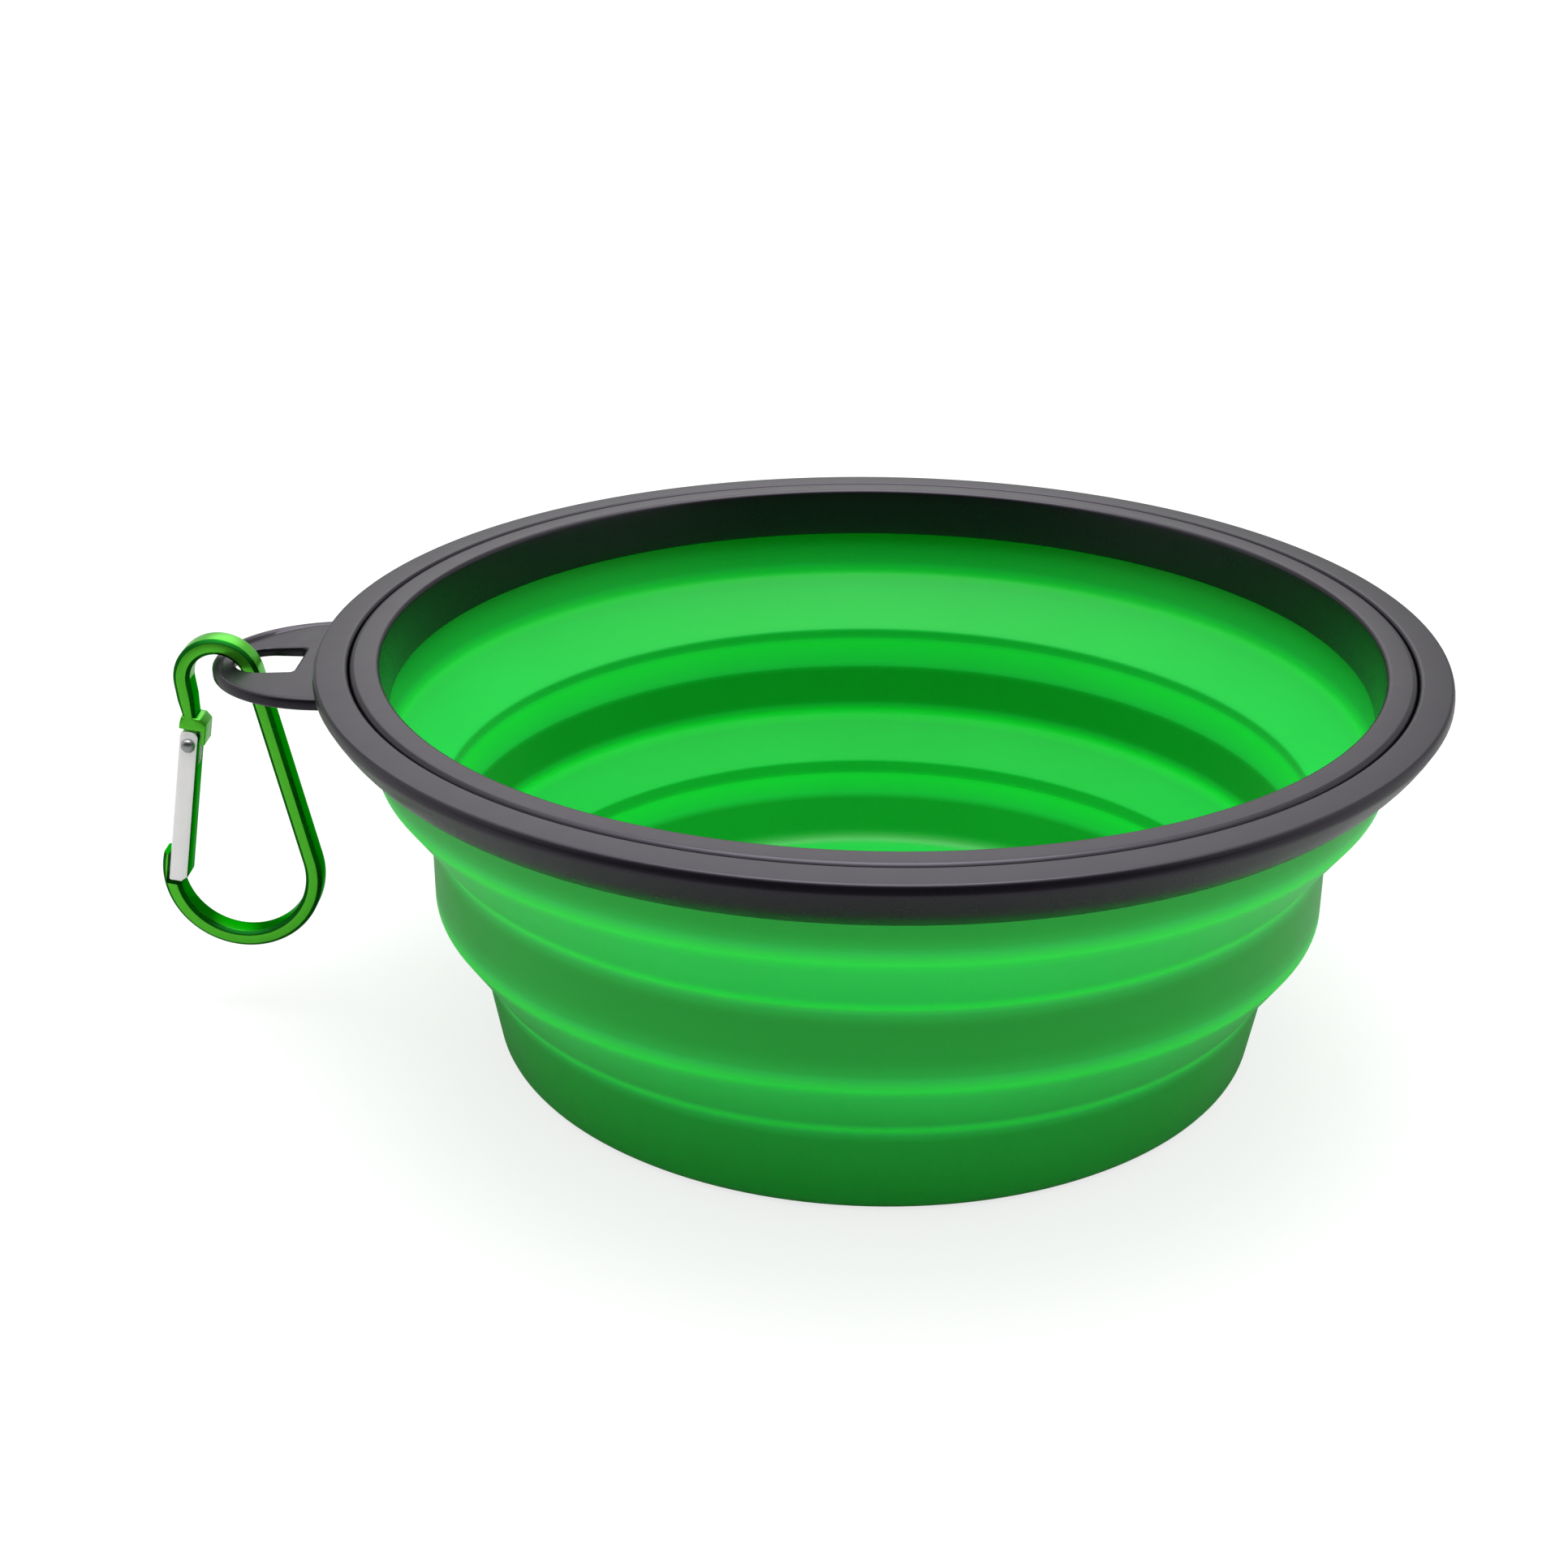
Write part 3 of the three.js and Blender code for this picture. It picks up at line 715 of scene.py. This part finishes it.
def hang_tab():
    """The plate, with one section for each ray from the middle of the slot."""
    centre = Vector((-(SLOT_START + SLOT_END) / 2, 0))
    section = tab_section()
    verts, faces = [], []
    for s in range(TAB_STEPS):
        turn = 2 * math.pi * s / TAB_STEPS
        ray = Vector((math.cos(turn), math.sin(turn)))
        near, far = reach(in_slot, centre, turn), reach(in_tab, centre, turn)
        for edge, inset, z, sunk in section:
            place = centre + ray * (far - inset if edge else near + inset)
            verts.append((place.x, place.y, z - sunk * lerp_table(SUNK_DEPTH, -place.x)))
    n = len(section)
    for s in range(TAB_STEPS):
        t = (s + 1) % TAB_STEPS
        for k in range(n):
            m = (k + 1) % n
            faces.append((s * n + k, t * n + k, t * n + m, s * n + m))
    return finish_mesh("hang_tab_skin", verts, faces, PLASTIC, sharp=50.0)


tab = hang_tab()
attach(tab, "rim")
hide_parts("hang_tab")


# Snap hook


def polar(centre, radius, degrees):
    """The point at an angle on a circle."""
    turn = math.radians(degrees)
    return Vector((centre.x + radius * math.cos(turn), centre.y + radius * math.sin(turn)))


def sweep(centre, radius, start, end, step=4.0):
    """Points along an arc, by angles in degrees."""
    count = max(2, math.ceil(abs(end - start) / step))
    return [polar(centre, radius, start + (end - start) * k / count) for k in range(count + 1)]


ORIGIN = Vector((0.0, 0.0))
gate_end = polar(BOW_CENTRE, BOW_RADIUS - GATE_INSET, 180 + GATE_END_ANGLE)
gate_reach = (PIVOT - gate_end).length
gate_lean = math.atan2(PIVOT.x - gate_end.x, PIVOT.y - gate_end.y)
collar_bottom = GATE_HEAD + GATE_CLEARANCE
collar_top = collar_bottom + COLLAR_HEIGHT
along = math.degrees(math.atan2(BOW_CENTRE.y, BOW_CENTRE.x))
spine_turn = along + math.degrees(math.acos((HOOK_RADIUS - BOW_RADIUS) / BOW_CENTRE.length))

HOOK_PLACE = Matrix.Translation(HOOK_CENTRE * MM)
PIVOT_PLACE = HOOK_PLACE @ Matrix.Translation(Vector((PIVOT.x, 0, PIVOT.y)) * MM)
GATE_PLACE = PIVOT_PLACE @ Matrix.Rotation(gate_lean, 4, "Y")


def wire_line():
    """Middle line of the bar: neck, hook arc, spine and bow."""
    middle = (collar_bottom + collar_top) / 2
    top = Vector((PIVOT.x + middle * math.sin(gate_lean), PIVOT.y + middle * math.cos(gate_lean)))
    tail = polar(ORIGIN, HOOK_RADIUS, 180 + HOOK_TAIL)
    line = [top.lerp(tail, k / STRAIGHT_STEPS) for k in range(STRAIGHT_STEPS)]
    line += sweep(ORIGIN, HOOK_RADIUS, 180 + HOOK_TAIL, spine_turn)
    spine_end = polar(BOW_CENTRE, BOW_RADIUS, spine_turn)
    line += [line[-1].lerp(spine_end, k / STRAIGHT_STEPS) for k in range(1, STRAIGHT_STEPS)]
    line += sweep(BOW_CENTRE, BOW_RADIUS, spine_turn, -180 - BOW_END_RISE, BOW_STEP)
    return line


def wire_section():
    """An eight-sided section with softened corners, as (across the bar in its plane, depth) points."""
    w, d, c = WIRE_WIDTH / 2, WIRE_DEPTH / 2, WIRE_CORNER
    corners = [(w, -d + c), (w, d - c), (w - c, d), (-w + c, d)]
    corners += [(-w, d - c), (-w, -d + c), (-w + c, -d), (w - c, -d)]
    ring = [(*corners[-1], 0), *((x, y, WIRE_SOFTEN) for x, y in corners), (*corners[0], 0)]
    return rounded(ring, steps=2)[1:-1]


def wire_bar():
    """The bent bar, with painted shade: deep green on its slanted facets, a darker green on its flanks below
    the hook arc.
    """
    line, section = wire_line(), wire_section()
    verts, faces = [], []
    n = len(section)
    for i, point in enumerate(line):
        ahead, behind = line[min(i + 1, len(line) - 1)], line[max(i - 1, 0)]
        run = (ahead - behind).normalized()
        side = Vector((-run.y, run.x))
        narrow = lerp_table(NECK_PINCH, (point - line[0]).length)
        for across, depth in section:
            place = point + side * across * narrow
            verts.append((place.x, depth, place.y))
    for i in range(len(line) - 1):
        for k in range(n):
            m = (k + 1) % n
            faces.append((i * n + k, i * n + m, (i + 1) * n + m, (i + 1) * n + k))
    faces.append(tuple(reversed(range(n))))
    faces.append(tuple(range((len(line) - 1) * n, len(line) * n)))
    bar = finish_mesh("carabiner_frame_skin", verts, faces, ANODISED)
    bar.data.materials.append(PAINTED_SHADE_DEEP_GREEN)
    bar.data.materials.append(PAINTED_SHADE_SIDE_GREEN)
    flank, front = math.cos(math.radians(70)), 0.9
    # Slanted facets take the deep painted shade, flanks below the hook arc the side painted shade.
    for face in bar.data.polygons:
        if flank < abs(face.normal.y) < front:
            face.material_index = 1
        elif abs(face.normal.y) <= flank and face.center.z < 0:
            face.material_index = 2
    return bar


def at_gate(obj):
    """Moves a tool drawn at the gate's pivot to its place on the hook."""
    obj.data.transform(HOOK_PLACE.inverted() @ GATE_PLACE)
    return obj


def pin(name, radius, length, material):
    """A plain pin across the hook's plane."""
    line = rod(radius, -length / 2, length / 2)
    obj = lathe(name, line, material, closed=False, segments=PIN_SEGMENTS)
    obj.data.transform(Matrix.Rotation(math.pi / 2, 4, "X"))
    return obj


def carabiner_frame():
    """The bar with room cut for the gate, its collar and tongue joined on, and the rivet's hole."""
    bar = wire_bar()
    half = GATE_WIDTH / 2
    ear = half + GATE_CLEARANCE
    room_bottom, room_top = -gate_reach - GATE_END_GAP, -gate_reach / 2
    room_inside = GATE_WIDTH + CUT_MARGIN
    room = [(-ear, room_bottom), (room_inside, room_bottom), (room_inside, room_top), (-ear, room_top)]
    collar = [
        (-half - COLLAR_OVERHANG, collar_bottom),
        (ear, collar_bottom),
        (ear, EAR_LIFT),
        (ear + EAR_THICKNESS, EAR_LIFT),
        (ear + EAR_THICKNESS, collar_bottom + COLLAR_HEIGHT * COLLAR_INNER_SHARE),
        (COLLAR_TOP_WIDTH / 2, collar_top),
        (-COLLAR_TOP_WIDTH / 2, collar_top),
        (-half - COLLAR_OVERHANG, collar_bottom + COLLAR_HEIGHT * COLLAR_OUTER_SHARE),
    ]
    tongue_half, tongue_top = TONGUE_WIDTH / 2, collar_bottom + COLLAR_HEIGHT / 2
    tongue = [
        (-tongue_half, tongue_top), (-tongue_half, -TONGUE_REACH),
        (tongue_half, -TONGUE_REACH), (tongue_half, tongue_top),
    ]
    # The room's cut faces take the deep green: painted shade on the bar's shadowed ends beside the gate.
    cut(bar, at_gate(prism("room", room, GATE_DEPTH + CUT_MARGIN, PAINTED_SHADE_DEEP_GREEN)))
    cut(bar, at_gate(prism("collar", collar, GATE_DEPTH, ANODISED, COLLAR_EDGE)), "UNION")
    cut(bar, at_gate(prism("tongue", tongue, TONGUE_THICKNESS, ANODISED)), "UNION")
    cut(bar, at_gate(pin("hole", RIVET_RADIUS + RIVET_PLAY, GATE_DEPTH + CUT_MARGIN, ANODISED)))
    settle(bar)
    bar.data.transform(HOOK_PLACE)
    return bar


def carabiner_gate():
    """The gate with its fork, its bore and the rivet's hole."""
    half = GATE_WIDTH / 2
    side = math.degrees(math.acos(half / GATE_HEAD))
    head = sweep(ORIGIN, GATE_HEAD, side, 180 - side, GATE_HEAD_STEP)
    outline = [(-half, -gate_reach), (half - GATE_CHAMFER, -gate_reach), (half, -gate_reach + GATE_CHAMFER)]
    outline += [(p.x, p.y) for p in head]
    gate = prism("carabiner_gate_skin", outline, GATE_DEPTH, GATE_METAL, GATE_EDGE)
    floor, open_end = -TONGUE_REACH - SLOT_DEPTH, GATE_HEAD + CUT_MARGIN
    slot = [(-GATE_WIDTH, floor), (GATE_WIDTH, floor), (GATE_WIDTH, open_end), (-GATE_WIDTH, open_end)]
    bore_line = rod(BORE_RADIUS, floor - BORE_DEPTH, floor + SLOT_DEPTH)
    bore = lathe("bore", bore_line, GATE_METAL, closed=False, segments=PIN_SEGMENTS)
    cut(gate, prism("slot", slot, TONGUE_THICKNESS + 2 * GATE_CLEARANCE, GATE_METAL))
    cut(gate, bore)
    cut(gate, pin("hole", RIVET_RADIUS + RIVET_PLAY, GATE_DEPTH + CUT_MARGIN, GATE_METAL))
    settle(gate)
    # The gate's inner side faces take the side green: an anodised green darkened with painted shade.
    gate.data.materials.append(PAINTED_SHADE_SIDE_GREEN)
    inner_side = 0.45
    for face in gate.data.polygons:
        if face.normal.x > inner_side:
            face.material_index = len(gate.data.materials) - 1
    gate.data.transform(GATE_PLACE)
    return gate


def gate_rivet():
    """A pin with a domed head on each side of the gate."""
    shank = GATE_DEPTH / 2 + RIVET_LIFT
    low = [Vector((x, -shank - z)) for x, z in RIVET_DOME]
    high = [Vector((x, shank + z)) for x, z in reversed(RIVET_DOME)]
    line = low + [Vector((RIVET_RADIUS, -shank)), Vector((RIVET_RADIUS, shank))] + high
    obj = lathe("gate_rivet_skin", line, STEEL, closed=False, segments=PIN_SEGMENTS)
    obj.data.transform(GATE_PLACE @ Matrix.Rotation(math.pi / 2, 4, "X"))
    return obj


def gate_plunger():
    """A short pin with a blunt nose, above the spring."""
    top, bottom = PLUNGER_TOP, PLUNGER_TOP - PLUNGER_LENGTH
    line = rounded([
        (0, bottom, 0),
        (PLUNGER_RADIUS, bottom, PLUNGER_FOOT_ROUND),
        (PLUNGER_RADIUS, top - PLUNGER_DOME, PLUNGER_TOP_ROUND),
        (PLUNGER_RADIUS * PLUNGER_FLAT_SHARE, top, PLUNGER_TOP_ROUND),
        (0, top, 0),
    ], steps=4)
    obj = lathe("gate_plunger_skin", line, STEEL, closed=False, segments=PIN_SEGMENTS)
    obj.data.transform(GATE_PLACE)
    return obj


def gate_spring():
    """A coil of round wire along the gate's bore."""
    steps, sides = SPRING_TURNS * SPRING_STEPS, SPRING_SIDES
    pitch = (SPRING_TOP - SPRING_BOTTOM) / SPRING_TURNS
    climb = math.atan2(pitch, 2 * math.pi * SPRING_RADIUS)
    verts, faces = [], []
    for i in range(steps + 1):
        turn = 2 * math.pi * SPRING_TURNS * i / steps
        outward = Vector((math.cos(turn), math.sin(turn), 0))
        level = math.cos(climb)
        heading = Vector((-math.sin(turn) * level, math.cos(turn) * level, math.sin(climb)))
        height = SPRING_BOTTOM + (SPRING_TOP - SPRING_BOTTOM) * i / steps
        middle = outward * SPRING_RADIUS + Vector((0, 0, height))
        across = heading.cross(outward)
        for k in range(sides):
            angle = 2 * math.pi * k / sides
            round_way = outward * math.cos(angle) + across * math.sin(angle)
            verts.append(middle + round_way * (SPRING_WIRE / 2))
    for i in range(steps):
        for k in range(sides):
            m = (k + 1) % sides
            faces.append((i * sides + k, i * sides + m, (i + 1) * sides + m, (i + 1) * sides + k))
    faces.append(tuple(range(sides)))
    faces.append(tuple(range(steps * sides, (steps + 1) * sides)))
    obj = finish_mesh("gate_spring_skin", verts, faces, STEEL, sharp=50.0)
    obj.data.transform(GATE_PLACE)
    return obj


hook = carabiner_frame()
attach(hook, "carabiner")
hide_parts("carabiner_frame")

gate = carabiner_gate()
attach(gate, "gate")
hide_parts("carabiner_gate")

rivet = gate_rivet()
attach(rivet, "carabiner")
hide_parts("gate_rivet")

plunger = gate_plunger()
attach(plunger, "plunger")
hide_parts("gate_plunger")

spring = gate_spring()
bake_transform(spring)
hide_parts("gate_spring")


# Stage, light and camera


def floor_plane():
    """Pale floor that keeps the shadow; reflections see it darker toward the front."""
    bpy.ops.mesh.primitive_plane_add(size=FLOOR_SIZE, location=(0, 0, -FLOOR_DROP))
    plane = bpy.context.object
    plane.name = "floor"
    material, nodes, links, shader = blank("pale_floor")
    path = nodes.new("ShaderNodeLightPath")
    place = nodes.new("ShaderNodeTexCoord")
    parts = nodes.new("ShaderNodeSeparateXYZ")
    links.new(place.outputs["Object"], parts.inputs["Vector"])
    depth = nodes.new("ShaderNodeMapRange")
    depth.inputs["From Min"].default_value = FLOOR_FRONT
    depth.inputs["From Max"].default_value = FLOOR_BACK
    depth.inputs["To Min"].default_value = FLOOR_FRONT_TONE
    depth.inputs["To Max"].default_value = FLOOR_BACK_TONE
    links.new(parts.outputs["Y"], depth.inputs["Value"])
    pale = nodes.new("ShaderNodeMix")
    pale.data_type = "RGBA"
    pale.inputs["A"].default_value = (FLOOR_PALE, FLOOR_PALE, FLOOR_PALE, 1)
    links.new(path.outputs["Is Glossy Ray"], pale.inputs["Factor"])
    links.new(depth.outputs["Result"], pale.inputs["B"])
    links.new(pale.outputs["Result"], shader.inputs["Base Color"])
    shader.inputs["Roughness"].default_value = 0.9
    shader.inputs["Specular IOR Level"].default_value = 0.0
    glow = nodes.new("ShaderNodeEmission")
    glow.inputs["Color"].default_value = (1, 1, 1, 1)
    glow.inputs["Strength"].default_value = FLOOR_GLOW
    share = nodes.new("ShaderNodeMath")
    share.operation = "MULTIPLY"
    share.inputs[1].default_value = FLOOR_GLOW_SHARE
    links.new(path.outputs["Is Camera Ray"], share.inputs[0])
    mix = nodes.new("ShaderNodeMixShader")
    links.new(share.outputs["Value"], mix.inputs["Fac"])
    links.new(shader.outputs["BSDF"], mix.inputs[1])
    links.new(glow.outputs["Emission"], mix.inputs[2])
    links.new(mix.outputs["Shader"], nodes["Material Output"].inputs["Surface"])
    plane.data.materials.append(material)


def greys(*stops):
    """Stops of a grey ramp from (place, level) pairs."""
    return [(place, (level, level, level)) for place, level in stops]


def studio_world():
    """White to the camera; soft light from above and the sides, a bright panel behind, dim in front."""
    world = bpy.data.worlds.new("studio")
    bpy.context.scene.world = world
    world.use_nodes = True
    nodes, links = world.node_tree.nodes, world.node_tree.links
    sky = nodes["Background"]
    place = nodes.new("ShaderNodeTexCoord")
    parts = nodes.new("ShaderNodeSeparateXYZ")
    links.new(place.outputs["Generated"], parts.inputs["Vector"])
    depth = nodes.new("ShaderNodeMapRange")
    depth.inputs["From Min"].default_value = -1.0
    links.new(parts.outputs["Y"], depth.inputs["Value"])
    side_stops = greys((0.0, 0.03), (0.12, 0.05), (0.32, 0.60), (0.65, 0.78), (0.85, 0.42))
    sides = ramp(nodes, links, depth.outputs["Result"], side_stops)
    top = ramp(nodes, links, parts.outputs["Z"], greys((0.55, 0.0), (0.70, 0.35), (0.85, 1.5)))
    aim = nodes.new("ShaderNodeVectorMath")
    aim.operation = "DOT_PRODUCT"
    aim.inputs[1].default_value = PANEL_WAY
    links.new(place.outputs["Generated"], aim.inputs[0])
    panel = ramp(nodes, links, aim.outputs["Value"], greys((0.906, 0.0), (0.987, 1.15)))
    light = sides
    for part in (top, panel):
        total = nodes.new("ShaderNodeVectorMath")
        total.operation = "ADD"
        links.new(light, total.inputs[0])
        links.new(part, total.inputs[1])
        light = total.outputs["Vector"]
    links.new(light, sky.inputs["Color"])
    sky.inputs["Strength"].default_value = 1.0
    white = nodes.new("ShaderNodeBackground")
    white.inputs["Color"].default_value = (1, 1, 1, 1)
    path = nodes.new("ShaderNodeLightPath")
    mix = nodes.new("ShaderNodeMixShader")
    links.new(path.outputs["Is Camera Ray"], mix.inputs["Fac"])
    links.new(sky.outputs["Background"], mix.inputs[1])
    links.new(white.outputs["Background"], mix.inputs[2])
    links.new(mix.outputs["Shader"], nodes["World Output"].inputs["Surface"])


def soft_light(name, place, target, size, watts):
    """A round area lamp that faces its target; places and size in metres."""
    lamp = bpy.data.lights.new(name, "AREA")
    lamp.shape = "DISK"
    lamp.size = size
    lamp.energy = watts
    obj = bpy.data.objects.new(name, lamp)
    obj.location = place
    aim = Vector(target) - Vector(place)
    obj.rotation_euler = aim.to_track_quat("-Z", "Y").to_euler()
    bpy.context.scene.collection.objects.link(obj)


def photo_camera():
    """The camera that the photograph was fitted with."""
    yaw, pitch, roll = (math.radians(a) for a in CAMERA_TURNS)
    ahead = Vector((math.sin(yaw) * math.cos(pitch), math.cos(yaw) * math.cos(pitch), -math.sin(pitch)))
    right = Vector((math.cos(yaw), -math.sin(yaw), 0))
    up = right.cross(ahead)
    across = right * math.cos(roll) + up * math.sin(roll)
    upward = up * math.cos(roll) - right * math.sin(roll)
    data = bpy.data.cameras.new("camera")
    data.sensor_width = CAMERA_SENSOR
    data.lens = CAMERA_FOCAL / CAMERA_PICTURE * CAMERA_SENSOR
    data.clip_start = 0.01
    obj = bpy.data.objects.new("camera", data)
    turn = Matrix((across, upward, -ahead)).transposed().to_4x4()
    obj.matrix_world = Matrix.Translation(Vector(CAMERA_PLACE) * MM) @ turn
    bpy.context.scene.collection.objects.link(obj)
    bpy.context.scene.camera = obj


bpy.context.scene.view_settings.view_transform = "Standard"
floor_plane()
studio_world()
soft_light("top_light", place=(0.0, 0.1, 0.9), target=(0, 0, 0.03), size=0.7, watts=4.5)
photo_camera()
